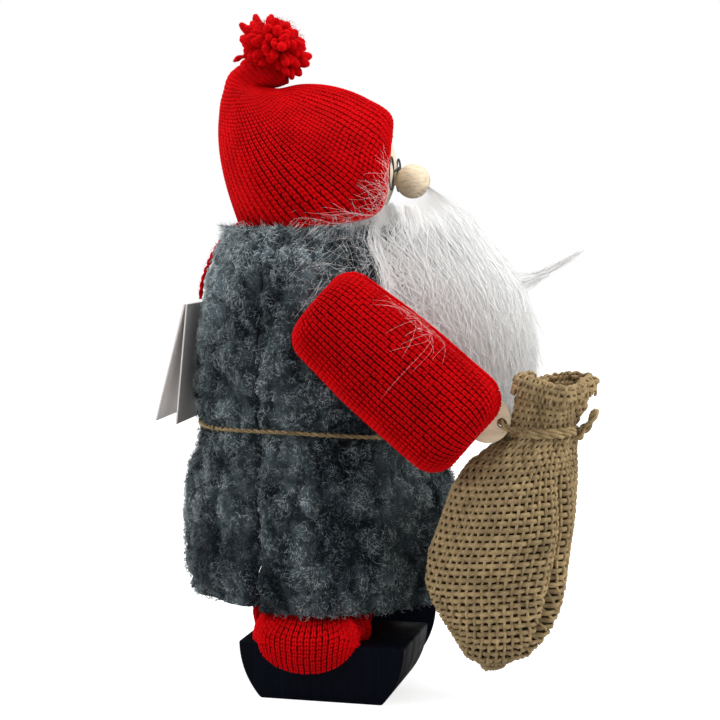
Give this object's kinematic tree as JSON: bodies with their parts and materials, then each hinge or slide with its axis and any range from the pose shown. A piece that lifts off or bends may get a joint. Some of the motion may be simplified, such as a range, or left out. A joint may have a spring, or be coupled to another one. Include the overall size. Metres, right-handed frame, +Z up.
{
  "type": "tomte gnome figurine",
  "caption": "Standing stuffed gnome in a knitted hat and fleece vest, on wooden shoes, holding a tied burlap sack; arms, sack, tag and pompom move.",
  "frame": {"origin": "on the ground under the middle of the whole figure's outline; the body's own axis stands 22.5 mm behind it, at Y +22.5 mm", "axes": "+Z up, the gnome faces -Y, and its right hand is on the -X side"},
  "size_m": [0.128, 0.1556, 0.23],
  "materials": {
    "shoe_paint": "satin",
    "bare_wood": "matte",
    "red_knit": "matte",
    "grey_fleece": "matte",
    "wadding": "matte",
    "jute_twine": "matte",
    "steel_wire": "satin",
    "black_wire": "satin",
    "face_skin": "matte",
    "white_hair": "matte",
    "burlap": "matte",
    "card": "matte"
  },
  "bodies": {
    "root": {"shoe_right": "shoe_paint", "shoe_left": "shoe_paint", "leg_dowel_right": "bare_wood", "leg_dowel_left": "bare_wood", "trouser_right": "red_knit", "trouser_left": "red_knit", "base_disc": "bare_wood", "spine": "bare_wood", "shoulder_block": "bare_wood", "shoulder_wire": "steel_wire", "shoulder_washers": "steel_wire", "body_wadding": "wadding", "vest_front": "grey_fleece", "vest_back": "grey_fleece", "belt": "jute_twine", "head": "face_skin", "nose": "bare_wood", "nose_peg": "bare_wood", "spectacles": "black_wire", "hat": "red_knit", "hat_wadding": "wadding", "beard": "white_hair", "moustache": "white_hair", "tag_cord": "red_knit"},
    "right_arm": {"hand_right": "bare_wood", "sleeve_right": "red_knit", "arm_wadding_right": "wadding"},
    "left_arm": {"hand_left": "bare_wood", "sleeve_left": "red_knit", "arm_wadding_left": "wadding"},
    "sack": {"sack": "burlap", "sack_filling": "wadding", "sack_tie": "jute_twine", "hand_loop": "jute_twine"},
    "pompom": {"pompom": "red_knit", "pompom_thread": "red_knit"},
    "tag": {"tag_inner_leaf": "card"},
    "tag_cover": {"tag_outer_leaf": "card"}
  },
  "joints": [
    {"name": "right_arm_swing", "type": "hinge", "parent": "root", "child": "right_arm", "pos_m": [-0.05, 0.0095, 0.127], "axis": [-1, 0, 0], "range_deg": [-5, 15]},
    {"name": "left_arm_swing", "type": "hinge", "parent": "root", "child": "left_arm", "pos_m": [0.05, 0.0095, 0.127], "axis": [-1, 0, 0], "range_deg": [-12, 60]},
    {"name": "sack_swing", "type": "hinge", "parent": "right_arm", "child": "sack", "pos_m": [-0.05, -0.04536, 0.09343], "axis": [-1, 0, 0], "range_deg": [-4, 10]},
    {"name": "pompom_nod", "type": "hinge", "parent": "root", "child": "pompom", "pos_m": [0, 0.052, 0.2147], "axis": [-1, 0, 0], "range_deg": [0, 25]},
    {"name": "tag_swing", "type": "hinge", "parent": "root", "child": "tag", "pos_m": [0, 0.06603, 0.12995], "axis": [1, 0, 0], "range_deg": [0, 60]},
    {"name": "tag_open", "type": "hinge", "parent": "tag", "child": "tag_cover", "pos_m": [0, 0.06668, 0.129], "axis": [1, 0, 0], "range_deg": [-6, 75]}
  ]
}
